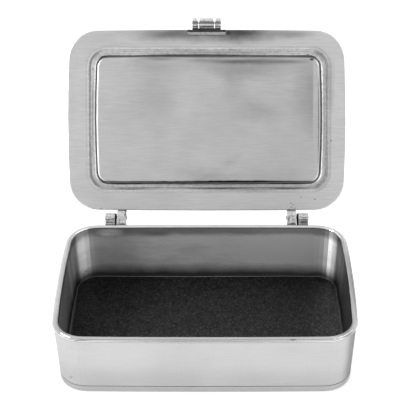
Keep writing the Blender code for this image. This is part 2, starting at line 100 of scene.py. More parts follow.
# %% [markdown]
# ## Helpers for nodes
#
# A finish is a small graph of nodes. Blender can build one in its shader editor, but a lesson
# reads better when each node is one line. The first helper makes a node, sets its fields, and
# links or fills its inputs by name. The second makes a material and hands over its shader.

# %% Helpers for material nodes


def add_node(tree, kind, settings=None, **inputs):
    """Adds one node. Settings are its own fields, and inputs are values or links by socket name."""
    made = tree.nodes.new(kind)
    for field, value in (settings or {}).items():
        setattr(made, field, value)
    for name, value in inputs.items():
        wanted = name.replace("_", " ").lower()
        matches = [s for s in made.inputs if s.name.lower() == wanted and s.enabled] or [
            s for s in made.inputs if s.identifier.lower() == name.lower()
        ]
        if isinstance(value, bpy.types.NodeSocket):
            tree.links.new(value, matches[0])
        else:
            matches[0].default_value = value
    return made


def new_material(name):
    """A material with nodes. It comes with its tree and its main shader."""
    material = bpy.data.materials.new(name)
    material.use_nodes = True
    return material, material.node_tree, material.node_tree.nodes["Principled BSDF"]


# %% [markdown]
# ## The table
#
# The box stands on white paper that runs on without an edge, which is why the picture has no
# horizon. A curved sheet could be modelled, but a large plain plane is enough. It is pale paint
# with a little light of its own: that keeps it white all round the box and leaves only the soft
# contact shadow. It lies a hair below the box and is clear from underneath, so that the
# underside of the box can be looked at.

# %% Table
bpy.ops.object.select_all(action="DESELECT")
table_width = 60
table_drop = 0.0001
bpy.ops.mesh.primitive_plane_add(size=table_width, location=(0, 0, -table_drop))
table_top = bpy.context.object
table_top.name = "table_top"
table_paint, table_tree, paint_shader = new_material("table_paint")
paint_shader.inputs["Base Color"].default_value = (0.92, 0.92, 0.92, 1)
paint_shader.inputs["Roughness"].default_value = 0.8
paint_shader.inputs["Specular IOR Level"].default_value = 0.2
paint_shader.inputs["Emission Color"].default_value = (1, 1, 1, 1)
paint_shader.inputs["Emission Strength"].default_value = 0.32
under_table = add_node(table_tree, "ShaderNodeNewGeometry").outputs["Backfacing"]
see_through = add_node(table_tree, "ShaderNodeBsdfTransparent").outputs["BSDF"]
one_sided = add_node(table_tree, "ShaderNodeMixShader", Fac=under_table)
table_tree.links.new(paint_shader.outputs["BSDF"], one_sided.inputs[1])
table_tree.links.new(see_through, one_sided.inputs[2])
table_tree.links.new(one_sided.outputs["Shader"], table_tree.nodes["Material Output"].inputs["Surface"])
table_top.data.materials.append(table_paint)
print("table is", table_width, "m wide and", 1000 * table_drop, "mm below the box")

# %% [markdown]
# ## The room
#
# Polished metal has hardly any colour of its own: it shows the room. A bright room makes it
# pale, and its dark lines are the places that look at something dark. The room could be modelled
# as walls and windows. A plain world does the same with less: it is bright all round and dimmer
# on the photographer's side, so the lid that faces that side turns the right grey.

# %% Room light
photographer_way = (0, -0.863, 0.505)
room = bpy.data.worlds.new("room")
room.use_nodes = True
bpy.context.scene.world = room
room_tree = room.node_tree
room_tree.nodes.clear()
room_place = add_node(room_tree, "ShaderNodeTexCoord").outputs["Generated"]
facing = room_tree.nodes.new("ShaderNodeVectorMath")
facing.operation = "DOT_PRODUCT"
room_tree.links.new(room_place, facing.inputs[0])
facing.inputs[1].default_value = photographer_way
front_share = add_node(
    room_tree, "ShaderNodeMapRange", {"interpolation_type": "SMOOTHSTEP"},
    Value=facing.outputs["Value"], From_Min=0.55, From_Max=0.99, To_Min=1.0, To_Max=0.78,
)
room_colour = add_node(room_tree, "ShaderNodeBackground", Strength=front_share.outputs["Result"])
add_node(room_tree, "ShaderNodeOutputWorld", Surface=room_colour.outputs["Background"])
print("room falls to", front_share.inputs["To Max"].default_value, "towards the photographer")

# %% [markdown]
# ## Two windows
#
# The pale upright stripes in the box's inner corners are soft windows, one on each side. Point
# lamps would give dots there. Area lamps give stripes, because metal shows the lamp's own shape.
# They stand wide apart and are weak beside the room, so that the box throws only a faint shadow.

# %% Lamps


def add_lamp(name, place, target, size, power):
    """A window-shaped lamp at a place, turned to look at a target."""
    data = bpy.data.lights.new(name, "AREA")
    data.shape = "RECTANGLE"
    data.size, data.size_y = size
    data.energy = power
    lamp = bpy.data.objects.new(name, data)
    lamp.location = place
    lamp.rotation_euler = (Vector(target) - Vector(place)).to_track_quat("-Z", "Y").to_euler()
    bpy.context.scene.collection.objects.link(lamp)
    return lamp


lamp_target = (0, 0, 0.03)
windows = [
    add_lamp("window_left", (-0.89, -0.26, 0.60), lamp_target, (0.40, 0.45), 6),
    add_lamp("window_right", (0.90, -0.33, 0.60), lamp_target, (1.0, 0.45), 4),
]
print("windows", [(window.name, round(window.location.length, 2)) for window in windows])

# %% [markdown]
# ## Tones
#
# A worn metal's colour is a product of many small shares: a darker crevice, a smudge, a fine
# line. These helpers are the arithmetic for it. One multiplies two shares, one goes from a value
# to another, and one maps a range and holds its ends. The rest take one coordinate of a place,
# draw a noise, spread its middle over a range, and turn a tone into a grey.

# %% Arithmetic on tones


def multiply(tree, first, second):
    """The product of two values, for tones that add up."""
    kind = {"operation": "MULTIPLY"}
    return add_node(tree, "ShaderNodeMath", kind, Value=first, Value_001=second).outputs[0]


def blend_value(tree, share, first, second):
    """Goes from the first value to the second as the share goes from 0 to 1."""
    kind = {"interpolation_type": "LINEAR"}
    return add_node(
        tree, "ShaderNodeMapRange", kind,
        Value=share, From_Min=0.0, From_Max=1.0, To_Min=first, To_Max=second,
    ).outputs["Result"]


def ramp_value(tree, value, low, high, to_low, to_high, smooth=True):
    """Maps a value from one range to another and holds it at the ends."""
    kind = {"interpolation_type": "SMOOTHSTEP" if smooth else "LINEAR"}
    return add_node(
        tree, "ShaderNodeMapRange", kind,
        Value=value, From_Min=low, From_Max=high, To_Min=to_low, To_Max=to_high,
    ).outputs["Result"]


def coordinate(tree, place, axis):
    """One of the three coordinates of a place."""
    return add_node(tree, "ShaderNodeSeparateXYZ", Vector=place).outputs[axis]


def noise(tree, place, scale, detail, roughness=0.5, **more):
    """A grey noise on a place."""
    return add_node(
        tree, "ShaderNodeTexNoise", Vector=place, Scale=scale, Detail=detail, Roughness=roughness, **more
    ).outputs[0]


def spread(tree, value, to_low, to_high):
    """Maps the middle of a noise, where nearly all of it lies, to a range."""
    return ramp_value(tree, value, 0.3, 0.7, to_low, to_high)


def grey(tree, tone):
    """A grey colour of a tone."""
    return add_node(tree, "ShaderNodeCombineColor", Red=tone, Green=tone, Blue=tone).outputs["Color"]


# %% [markdown]
# ## The lid laid flat
#
# The lid is modelled open and leaning back, so its own coordinates are slanted. Marks are easier
# to place on a lid that is shut, where X runs along the box and Y runs back. A Mapping node
# turns the coordinates back round the hinge, and the bounds of a piece are turned the same way.

# %% The shut lid's coordinates


def closed_place(tree, place):
    """Object coordinates of the open lid, turned back to where they are when the lid is shut."""
    return add_node(
        tree, "ShaderNodeMapping", Vector=place, Rotation=(lid_turn, 0, 0),
        Location=lid_axis - shut_turn @ lid_axis,
    ).outputs["Vector"]


def closed_box(node_name):
    """The corners of a lid piece's bounds when the lid is shut."""
    corners = [shut_turn @ (corner.co - lid_axis) + lid_axis for corner in nodes[node_name].data.vertices]
    low = Vector([min(corner[i] for corner in corners) for i in range(3)])
    high = Vector([max(corner[i] for corner in corners) for i in range(3)])
    return low, high


panel_low, panel_high = closed_box("lid_panel")
panel_corner_radius = 0.0056
print("panel on the shut lid, mm", [round(1000 * v, 1) for v in (*panel_low, *panel_high)])

# %% [markdown]
# ## Smudges with uneven edges
#
# Fingers, solder and polish leave soft dark patches, and here the same soft ovals also carry
# painted shade and painted highlights. They could be painted in texture paint, but a painted picture
# has a fixed grain. An oval that is measured in millimetres stays sharp at any size. Its coordinates
# are pushed about by a noise first, so that it is never a clean oval.

# %% Smudges


def ragged(tree, place, size, reach):
    """The place pushed about by a noise, so that what is drawn on it has an uneven edge."""
    wobble = add_node(tree, "ShaderNodeTexNoise", Vector=place, Scale=1 / size, Detail=3).outputs["Color"]
    push = tree.nodes.new("ShaderNodeVectorMath")
    push.operation = "MULTIPLY_ADD"
    tree.links.new(wobble, push.inputs[0])
    push.inputs[1].default_value = (reach, reach, reach)
    tree.links.new(place, push.inputs[2])
    shift = add_node(tree, "ShaderNodeMapping", Vector=push.outputs["Vector"], Location=(-reach / 2,) * 3)
    return shift.outputs["Vector"]


def smudge(tree, place, centre, size, left, core=0.0):
    """A soft oval in millimetres, seen from above, where the tone falls to a share that is left."""
    scale = (1000 / size[0], 1000 / size[1], 0)
    shift = (-centre[0] / size[0], -centre[1] / size[1], 0)
    near = add_node(tree, "ShaderNodeMapping", Vector=place, Scale=scale, Location=shift).outputs["Vector"]
    away = add_node(tree, "ShaderNodeVectorMath", {"operation": "LENGTH"}, Vector=near).outputs["Value"]
    return ramp_value(tree, away, core, 1.0, left, 1.0)


def smudges(tree, place, marks):
    """The product of several smudges."""
    tone = None
    for mark in marks:
        one = smudge(tree, place, *mark)
        tone = one if tone is None else multiply(tree, tone, one)
    return tone


def seen_from_front(tree, place):
    """The place turned so that its height takes the part of its depth, for marks on upright faces."""
    return add_node(tree, "ShaderNodeMapping", Vector=place, Rotation=(-math.pi / 2, 0, 0)).outputs["Vector"]


# %% [markdown]
# ## Lines that follow an outline
#
# The crevices and beads round the lid's panel all run parallel to one round-cornered rectangle.
# They could be drawn as many small ovals. The distance from that rectangle gives every one of
# them at once: a band of the distance is a line that follows the moulding round its corners.

# %% Distance from an outline


def outline_distance(tree, place, low, high, radius):
    """How far a place lies outside a rectangle with round corners, seen from above."""
    middle = (low + high) / 2
    inner = (high - low) / 2 - Vector((radius, radius, 0))
    centred = (-middle.x, -middle.y, 0)
    steps = [
        add_node(tree, "ShaderNodeMapping", Vector=place, Location=centred, Scale=(1, 1, 0)),
        add_node(tree, "ShaderNodeVectorMath", {"operation": "ABSOLUTE"}),
        add_node(tree, "ShaderNodeVectorMath", {"operation": "SUBTRACT"}),
        add_node(tree, "ShaderNodeVectorMath", {"operation": "MAXIMUM"}),
        add_node(tree, "ShaderNodeVectorMath", {"operation": "LENGTH"}),
    ]
    for before, after in zip(steps, steps[1:]):
        tree.links.new(before.outputs["Vector"], after.inputs[0])
    steps[2].inputs[1].default_value = (inner.x, inner.y, 0)
    away = add_node(tree, "ShaderNodeMath", {"operation": "SUBTRACT"}, Value=steps[-1].outputs["Value"])
    away.inputs[1].default_value = radius
    return away.outputs[0]


def band(tree, value, low, high, soft, left):
    """A tone that falls to a share between two values, with soft ends."""
    rise = ramp_value(tree, value, low - soft, low, 0, 1)
    fall = ramp_value(tree, value, high, high + soft, 1, 0)
    return ramp_value(tree, multiply(tree, rise, fall), 0, 1, 1, left, smooth=False)


# %% [markdown]
# ## The lines of the brushing
#
# Pewter is soft, and it is finished with fine abrasive pulled along the sheet. The lines are far
# too fine to model one by one, but they stretch each reflection across them, which is what the
# anisotropic setting does, along a tangent. A noise that is stretched in one direction gives the
# lines that do show. On the wall, the rim and the base they run round the box.

# %% Lines of the brushing


def brushing(tree, place, brush):
    """The way of the brushing, its fine lines and how deep they look."""
    if brush == "length":
        way = add_node(tree, "ShaderNodeCombineXYZ", X=1.0).outputs["Vector"]
        squeeze = (0.05, 1, 1)
        depth = 0.05
    else:
        radial = {"direction_type": "RADIAL", "axis": "Z"}
        way = add_node(tree, "ShaderNodeTangent", radial).outputs["Tangent"]
        squeeze = (0.03, 0.03, 1)
        depth = 0.025
    lines_place = add_node(tree, "ShaderNodeMapping", Vector=place, Scale=squeeze).outputs["Vector"]
    return way, noise(tree, lines_place, 2000, 3, 0.6), depth


# %% [markdown]
# ## The bare inside of the wall and its painted light
#
# The wall is one solid, yet its inner face is barer and duller than its outer face, because no
# hand polished it. Two materials on one mesh could do that. Here one finish tells the two faces
# apart by which way the surface looks: the inner one looks towards the middle of the box. Its tone
# is painted light: painted reflection darkens its foot, where it shows the leather, and painted
# shade darkens it under its brow, where it shows the rim.

# %% Inside of the wall


def inner_face(tree, place):
    """A share that is one on the faces that look towards the middle of the box."""
    face_way = add_node(tree, "ShaderNodeNewGeometry").outputs["Normal"]
    outwards = tree.nodes.new("ShaderNodeVectorMath")
    outwards.operation = "DOT_PRODUCT"
    tree.links.new(face_way, outwards.inputs[0])
    tree.links.new(place, outwards.inputs[1])
    return ramp_value(tree, outwards.outputs["Value"], -0.004, 0.004, 1, 0)


def inner_painted_light(tree, place, inside):
    """The tone of the inner face as painted light: painted reflection at its foot, painted shade under its
    brow, its streaks, and painted highlights and shades.
    """
    height = coordinate(tree, ragged(tree, place, 0.012, 0.003), "Z")
    foot_low, foot_high = inside["foot_heights"]
    brow_low, brow_high = inside["brow_heights"]
    # Painted reflection of the dark leather at the foot and painted shade under the brow.
    foot = ramp_value(tree, height, foot_low, foot_high, inside["foot"], 1, smooth=False)
    shade = multiply(tree, foot, ramp_value(tree, height, brow_low, brow_high, 1, inside["brow"]))
    streak = add_node(tree, "ShaderNodeMapping", Vector=place, Scale=(0.3, 0.3, 1)).outputs["Vector"]
    shade = multiply(tree, shade, spread(tree, noise(tree, streak, 110, 4, 0.6), 0.86, 1.1))
    shade = multiply(tree, shade, smudges(tree, place, inside["marks"]))
    shade = multiply(tree, shade, smudges(tree, seen_from_front(tree, place), inside["high_marks"]))
    return multiply(tree, shade, inside["tone"])


# %% [markdown]
# ## Pewter
#
# One recipe makes every pewter finish. A broad faint noise gives the uneven hand work, in the
# tone and as a slight wave of the surface. Each crevice is darker where the ambient occlusion node
# finds it, as dark polish and as painted shade together. What is special to one piece comes in as
# a function for its marks and painted shades, as the numbers of its bare inside and its painted
# light, or as the part of it that the brushing did not reach.

# %% Pewter
dull_roughness = 0.55


def pewter(
    name, lightness, roughness, brush="length", stretch=0.6, crevice=0.5, wave=0.3,
    marks=None, inside=None, dull=None,
):
    """A brushed pewter. Its lines run along the length of the box or round its wall."""
    material, tree, shader = new_material(name)
    shader.inputs["Metallic"].default_value = 1
    shader.inputs["Anisotropic"].default_value = stretch
    shader.inputs["Anisotropic Rotation"].default_value = 0.25
    place = add_node(tree, "ShaderNodeTexCoord").outputs["Object"]
    way, lines, depth = brushing(tree, place, brush)
    tree.links.new(way, shader.inputs["Tangent"])
    broad = noise(tree, place, 34, 2)
    occlusion_shade = add_node(tree, "ShaderNodeAmbientOcclusion", {"samples": 8}, Distance=0.0016).outputs["AO"]
    tone = spread(tree, broad, 0.96 * lightness, 1.04 * lightness)
    tone = multiply(tree, tone, spread(tree, lines, 1 - depth, 1 + depth))
    # Painted shade and dark polish together: the tone is darker where ambient occlusion finds a crevice.
    tone = multiply(tree, tone, ramp_value(tree, occlusion_shade, 0.1, 0.65, 1 - crevice, 1))
    gloss = spread(tree, lines, roughness * 0.85, roughness * 1.15)
    if marks:
        tone = multiply(tree, tone, marks(tree, place))
    if inside:
        within = inner_face(tree, place)
        tone = multiply(tree, tone, blend_value(tree, within, 1, inner_painted_light(tree, place, inside)))
        gloss = ramp_value(tree, within, 0, 1, roughness, inside["roughness"])
        stretched = ramp_value(tree, within, 0, 1, stretch, inside["stretch"])
        tree.links.new(stretched, shader.inputs["Anisotropic"])
    if dull:
        share = dull(tree, place)
        gloss = blend_value(tree, share, gloss, dull_roughness)
        tree.links.new(blend_value(tree, share, stretch, 0), shader.inputs["Anisotropic"])
    tree.links.new(grey(tree, tone), shader.inputs["Base Color"])
    tree.links.new(gloss, shader.inputs["Roughness"])
    fine = add_node(tree, "ShaderNodeBump", Strength=0.25, Distance=0.00002, Height=lines)
    uneven = add_node(
        tree, "ShaderNodeBump", Strength=wave, Distance=0.0005, Height=broad, Normal=fine.outputs["Normal"]
    )
    tree.links.new(uneven.outputs["Normal"], shader.inputs["Normal"])
    return material


# %% [markdown]
# ## Paint in place of the plain colour
#
# The solids arrive in a plain colour. A copy of each one could be painted and the first one
# hidden, but that doubles the pieces. Each solid keeps its mesh and its name, and only its
# material slot is filled anew.

# %% Repaint


def repaint(node_name, material):
    """Gives a CAD solid a finish in place of its plain one."""
    slots = nodes[node_name].data.materials
    slots.clear()
    slots.append(material)


# %% [markdown]
# ## Where the lid is marked
#
# The lid was soldered from a flange and a panel, and a torch and a hand have left traces. On the
# flange they are dots of solder by the right hinge and nicks on the bead. Beside them lie painted
# shadow on both sides of the latch and painted shade in the grooves and the crevice. They could be
# painted in texture paint, but here each is one row of numbers, which is easy to read and to move.

# %% Marks on the flange
# Each is a middle, half sizes, the share of the tone that is left and, for some, a flat core.
# Lengths are in millimetres on the shut lid.
# Painted shadow and a painted dark reflection on both sides of the latch.
latch_shadows = [
    ((2, -47.0), (60, 8.0), 0.45), ((16, -46.6), (22, 6.0), 0.4), ((-20, -46.0), (20, 4.5), 0.55),
    ((45, -46.0), (20, 3.5), 0.65), ((22, -47.0), (14, 2.6), 0.6), ((11.2, -46.6), (2.6, 2.0), 0.4),
    ((20, -43.5), (24, 5.0), 0.8), ((-0.9, -45.7), (11.5, 0.8), 0.55),
]
groove_shades = [
    ((25, 35.5), (45, 2.5), 0.8), ((22, 37.5), (38, 2.0), 0.75), ((1, -36.6), (56, 2.2), 0.72),
    ((66.2, -18), (3.5, 22), 0.8),
]
solder_dots = [
    ((66.9, 10.8), (0.6, 0.7), 0.2), ((58.3, 42.3), (0.8, 0.6), 0.3), ((50.8, 41.2), (0.7, 0.5), 0.5),
    ((-57.0, 47.2), (0.9, 0.6), 0.4), ((45.4, 44.4), (0.8, 0.5), 0.4), ((46.6, 45.3), (0.6, 0.5), 0.4),
    ((45.6, 46.6), (0.7, 0.6), 0.35), ((47.6, 47.2), (0.5, 0.6), 0.5), ((44.2, 48.0), (0.8, 0.7), 0.4),
    ((46.0, 48.9), (3.2, 0.6), 0.1), ((50.6, 48.7), (1.2, 0.4), 0.25), ((-51.5, 48.6), (1.6, 0.5), 0.45),
    ((-47.6, 48.9), (1.8, 0.5), 0.3), ((-44.2, 48.4), (1.4, 0.5), 0.4), ((-49.4, 47.4), (0.8, 0.5), 0.6),
]
bead_nicks = [
    ((54.2, -35.2), (1.2, 0.5), 0.1), ((60.6, -29.0), (0.5, 1.4), 0.1), ((61.3, -26.2), (0.5, 1.2), 0.15),
    ((61.6, -20.0), (0.5, 1.0), 0.3), ((60.6, -21.5), (0.4, 0.9), 0.4), ((61.8, -9.0), (0.4, 2.5), 0.5),
    ((-61.0, -27.5), (0.5, 1.2), 0.4), ((-61.3, -12.0), (0.4, 4.0), 0.6), ((-52.5, -34.6), (1.3, 0.4), 0.4),
]
# Painted shade in the grooves along the bead.
groove_shade_lines = [
    ((6, 36.4), (30, 0.7), 0.15), ((-42, 36.8), (20, 0.7), 0.3), ((44, 36.5), (18, 0.7), 0.2),
    ((0, 35.1), (42, 0.35), 0.5), ((12, -36.3), (42, 0.35), 0.55),
]
# Painted shade in the crevice round the panel.
crevice_shade_lines = [
    ((0, 33.9), (54, 0.7), 0.15, 0.5), ((-43, 34.0), (15, 0.6), 0.15, 0.4),
    ((44, 33.9), (15, 0.6), 0.15, 0.4), ((-6, -35.0), (34, 0.5), 0.3, 0.5),
]
broad_shades = latch_shadows + groove_shades
fine_marks_and_shades = solder_dots + bead_nicks + groove_shade_lines + crevice_shade_lines
print(len(broad_shades), "broad marks and", len(fine_marks_and_shades), "fine ones on the flange")

# %% [markdown]
# ## Where the panel is marked
#
# The panel has broad grey smudges, a grey streak of painted reflection and painted shade along
# its front edge, and painted black shade in the crevice behind its back edge. One noise could give
# smudges, but not in these places, so they are rows too.

# %% Marks on the panel
panel_smudges = [
    ((62, 0), (75, 80), 0.88), ((18, -29), (44, 10), 0.72), ((57, -14), (16, 30), 0.72),
    ((-26, -14), (19, 32), 0.87), ((-30, -29), (18, 8), 0.86), ((13, -19), (11, 15), 0.87),
    ((27, -5.5), (20, 9), 0.82), ((0, 29), (20, 8), 0.82), ((20, 31), (48, 6), 0.9), ((14, 22), (8, 5), 0.88),
]
# Painted reflection and painted shade along the panel's front edge.
front_edge_shades = [
    ((-25, -33.0), (17, 1.4), 0.6), ((24, -31.5), (38, 2.6), 0.5), ((14, -31.4), (18, 1.4), 0.75),
    ((56.4, -32.6), (1.6, 0.9), 0.08, 0.2), ((6, -33.9), (52, 0.6), 0.35), ((-6, -34.9), (36, 0.7), 0.3, 0.2),
    ((-4, -32.4), (16, 1.6), 0.75), ((44, -31.4), (14, 1.6), 0.75),
]
# Painted shade in the crevice behind the panel's back edge.
back_crevice_shades = [
    ((18, 32.8), (46, 1.0), 0.08, 0.3), ((-27, 33.1), (30, 0.8), 0.15, 0.2),
    ((0, 33.4), (55, 0.9), 0.08, 0.5), ((-43, 33.8), (14, 0.8), 0.1, 0.5), ((44, 33.7), (14, 0.8), 0.1, 0.5),
]
print(len(panel_smudges), "smudges and", len(front_edge_shades + back_crevice_shades), "lines on the panel")

# %% [markdown]
# ## The panel's finish
#
# The panel is the flat sheet that is let into the lid. Its smudges are broad and drift sideways
# with the brushing, and its right edge is a paler strip of painted reflection, where the sheet
# bends, which turns to painted shade at its outermost rim. The marks belong to the underside only.
# A second material could keep them off the top. Here they fade out at half the panel's thickness,
# so one finish does and the top stays even.

# %% Tones of the panel


def under_lid(tree, shut, tone):
    """The tone on the underside of the lid, and an even one on its top."""
    middle = (panel_low.z + panel_high.z) / 2
    on_top = ramp_value(tree, coordinate(tree, shut, "Z"), middle - 0.0002, middle + 0.0002, 0, 1)
    return blend_value(tree, on_top, tone, 0.9)


def on_panel(tree, place):
    """Soft marks on the panel, a paler strip of painted reflection at its right edge, and painted shade along
    the line where it meets the frame.
    """
    shut = closed_place(tree, place)
    near = ragged(tree, shut, 0.004, 0.0006)
    drifting = ragged(tree, ragged(tree, shut, 0.02, 0.014), 0.005, 0.004)
    across = coordinate(tree, near, "X")
    # The right edge is painted paler as a reflection, then darker as shade at its outermost rim.
    right_edge = ramp_value(tree, across, 0.0566, 0.0576, 0, 1)
    right_edge_light_and_shade = ramp_value(tree, across, 0.0595, 0.0601, 0.92, 0.42)
    tone = blend_value(tree, right_edge, smudges(tree, drifting, panel_smudges), right_edge_light_and_shade)
    tone = multiply(tree, tone, smudges(tree, near, front_edge_shades + back_crevice_shades))
    return under_lid(tree, shut, tone)


# %% [markdown]
# ## The flange's finish
#
# The flange carries the moulding: a crevice, a bead and an outer groove. A brush can't reach
# into them, so they are duller and a little mottled, and they get painted shade. One dark line all
# round would look drawn. Five bands of painted shade follow the outline, and each one has its own
# strength on the left, on the long sides and on the right.

# %% Tones of the flange


def mottle(tree, place, size, low):
    """Small uneven patches, as a file or a soldering iron leaves."""
    return ramp_value(tree, noise(tree, place, 1 / size, 2, 0.6), 0.35, 0.6, low, 1)


def from_the_panel(tree, shut):
    """How far a place on the shut lid lies outside the panel."""
    return outline_distance(tree, shut, panel_low, panel_high, panel_corner_radius)


def by_the_moulding(tree, place):
    """A share that is one on the bead and its grooves, where the brushing did not reach."""
    return ramp_value(tree, from_the_panel(tree, closed_place(tree, place)), 0.0040, 0.0052, 1, 0)


# Bands of painted shade. From and to, in metres outside the panel, the softness, and the tone that
# is left on the lid's left side, on its long sides and on its right side
outline_shade_bands = [
    (-0.001, 0.0004, 0.0003, 1, 0.1, 0.9), (0.0009, 0.0018, 0.0003, 0.7, 0.72, 0.65),
    (0.0019, 0.0028, 0.0003, 0.5, 0.95, 0.55), (0.0028, 0.0036, 0.0003, 0.5, 0.8, 0.55),
    (0.0038, 0.0052, 0.0006, 0.9, 0.9, 0.78),
]


def on_flange(tree, place):
    """Marks on the flange, and painted shade along the bead and in the crevice, darkest by the long sides."""
    shut = closed_place(tree, place)
    near = ragged(tree, shut, 0.004, 0.0004)
    tone = smudges(tree, ragged(tree, shut, 0.006, 0.0035), broad_shades)
    tone = multiply(tree, tone, smudges(tree, near, fine_marks_and_shades))
    across = coordinate(tree, near, "X")
    away = from_the_panel(tree, near)
    by_left = ramp_value(tree, across, -0.0600, -0.0550, 1, 0)
    by_right = ramp_value(tree, across, 0.0555, 0.0605, 0, 1)
    for start, end, soft, left_side, long_side, right_side in outline_shade_bands:
        share = blend_value(tree, by_right, blend_value(tree, by_left, long_side, left_side), right_side)
        tone = multiply(tree, tone, band(tree, away, start, end, soft, share))
    grime = mottle(tree, place, 0.0016, 0.84)
    tone = multiply(tree, tone, blend_value(tree, by_the_moulding(tree, place), 1, grime))
    return under_lid(tree, shut, tone)


# %% [markdown]
# ## The latch and the hinges
#
# Small fittings are polished bright where the fingers rub, and their slots get painted black shade.
# Ambient occlusion alone leaves those slots too pale. The latch gets painted shade in bands across
# its depth. The hinge knuckles get small ovals of painted shade that are placed as they are seen
# from the front, and a black line of painted shade where two of them meet.

# %% Tones of the fittings
# Bands of painted shade: from and to, in metres behind the latch's front, and the tone that is left
latch_shade_bands = [
    (0.0018, 0.0026, 0.45), (0.0026, 0.0035, 0.35), (0.0052, 0.0074, 0.09), (0.0076, 0.0090, 0.65),
]
slot_width = 0.0012


def on_latch(tree, place):
    """Bright barrels with a belly darkened by painted shade, and painted shade in the sunk part of the plate.
    """
    shut = closed_place(tree, place)
    depth = coordinate(tree, ragged(tree, shut, 0.002, 0.0005), "Y")
    front = closed_box("latch_plate")[0].y
    tone = mottle(tree, place, 0.0012, 0.8)
    for start, end, left in latch_shade_bands:
        tone = multiply(tree, tone, band(tree, depth, front + start, front + end, 0.0002, left))
    return tone


def on_knuckles(marks, slot_start=None):
    """A tone function for painted shade that is placed as the knuckles are seen from the front, with a black
    band of painted shade in the slot.
    """

    def tones(tree, place):
        upright = ragged(tree, seen_from_front(tree, place), 0.0015, 0.0006)
        tone = multiply(tree, mottle(tree, place, 0.0010, 0.75), smudges(tree, upright, marks))
        # The slot between two knuckles is painted near-black as shade.
        if slot_start:
            across = coordinate(tree, place, "X")
            away = add_node(tree, "ShaderNodeMath", {"operation": "ABSOLUTE"}, Value=across).outputs[0]
            tone = multiply(tree, tone, band(tree, away, slot_start, slot_start + slot_width, 0.0001, 0.03))
        return tone

    return tones


# Ovals of painted shade on the barrels and necks of the knuckles.
box_knuckle_shades = [
    ((-52.7, 36.5), (1.9, 0.45), 0.25), ((-50.3, 37.1), (1.9, 0.45), 0.25), ((-53.6, 35.4), (1.0, 0.9), 0.6),
    ((52.5, 37.6), (3.0, 0.40), 0.25), ((52.4, 39.0), (3.2, 0.25), 0.4),
    ((52.6, 35.8), (3.4, 1.7), 0.62, 0.5),
]
lid_knuckle_shades = [
    ((-43.8, 38.7), (0.8, 2.0), 0.25), ((-46.9, 36.4), (0.6, 1.4), 0.55), ((-45.4, 34.9), (2.4, 0.4), 0.4),
    ((44.2, 36.8), (0.6, 2.4), 0.15), ((46.3, 35.0), (2.6, 0.6), 0.15), ((46.0, 38.2), (2.4, 0.35), 0.35),
    ((46.6, 36.6), (1.4, 1.6), 0.7), ((46.0, 40.5), (2.6, 0.4), 0.2),
]
print(len(box_knuckle_shades), "marks on the box knuckles and", len(lid_knuckle_shades), "on the lid knuckles")

# %% [markdown]
# ## The box's marks and painted shade
#
# The wall is calm: it gets painted shade towards its foot and at one corner. The rim is a moulding
# with two beads, and painted shade makes it darkest in the grooves under them, on its outer side
# and where it turns away at the corners. A groove could be a line of small ovals, but a band of
# height does it in one step, so the marks and the painted shade are bands with a few soft ovals.

# %% Marks on the box
# On the wall the second number is the height, and on the rim it is the depth
wall_marks = [
    ((-65.7, 8.0), (1.0, 0.5), 0.2), ((-64.6, 8.9), (0.4, 0.5), 0.6), ((66.8, 20.8), (0.9, 0.35), 0.6),
]
# Painted shade at the right front corner of the wall.
wall_corner_shade = [((74, -38), (9, 12), 0.25)]
# Mostly painted shade on the rim, on its front, its outer sides and its front corners, with a few small
# marks.
rim_marks_and_shades = [
    ((0, -60), (200, 60), 0.8, 0.5), ((0, -49.2), (90, 2.2), 0.7, 0.3), ((75.3, 0), (3.2, 70), 0.35, 0.3),
    ((-75.3, 0), (2.6, 70), 0.8, 0.3), ((69, -44), (8, 8), 0.55), ((-69, -44), (8, 8), 0.8),
    ((42, -47.6), (2.6, 0.35), 0.35), ((37, -48.6), (4.5, 0.4), 0.5), ((-60, -47.6), (8, 0.3), 0.6),
]
rim_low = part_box("body_rim")[0].z
# Heights of the groove under the top bead, where the rim gets painted shade.
under_top_bead = (0.0343, 0.0345)


def on_wall(tree, place):
    """Marks on the wall, painted shade at one corner, and painted shade towards its foot."""
    upright = ragged(tree, seen_from_front(tree, place), 0.002, 0.0005)
    tone = multiply(tree, smudges(tree, upright, wall_marks), smudges(tree, place, wall_corner_shade))
    # Painted shade towards the foot of the wall.
    return multiply(tree, tone, ramp_value(tree, coordinate(tree, place, "Z"), 0.008, 0.020, 0.88, 1))


def on_rim(tree, place):
    """Marks on the rim, and painted shade on its outer side and in the two grooves under its beads."""
    near = ragged(tree, place, 0.003, 0.0004)
    tone = smudges(tree, near, rim_marks_and_shades)
    height = coordinate(tree, near, "Z")
    tone = multiply(tree, tone, ramp_value(tree, height, rim_low + 0.0002, rim_low + 0.0006, 0.45, 1))
    return multiply(tree, tone, band(tree, height, *under_top_bead, 0.0002, 0.75))


print(len(wall_marks + wall_corner_shade), "marks on the wall and", len(rim_marks_and_shades), "on the rim")

# %% [markdown]
# ## The metal finishes
#
# Each piece could have its own material from the start. One recipe serves them all, and the
# numbers make the difference: the rim is bright and sharp, the wall and the base are greyer,
# and the inside of the wall is bare, with a window's stripe in each corner. The inside's tone is
# painted light: it is brightened all over and carries painted highlights and painted shade.

# %% Finishes of the wall, rim and base
# Painted light inside the wall: ovals of painted shade darken its sides and corners, and a few painted
# highlights brighten it.
inside_shades_and_highlights = [
    ((-72, -20), (10, 55), 0.22, 0.6), ((72, -15), (10, 62), 0.08, 0.5), ((-48, 46), (24, 9), 0.72),
    ((-72, 32), (4.5, 13), 0.3, 0.5), ((72, 33), (4.5, 12), 0.2, 0.5), ((44, 48), (30, 14), 1.35, 0.2),
    ((-12, 48), (22, 10), 0.93),
]
brow_highlights_and_shades = [((-52, 31.6), (10, 3.4), 2.6, 0.2), ((-27, 30.0), (13, 2.6), 0.7)]
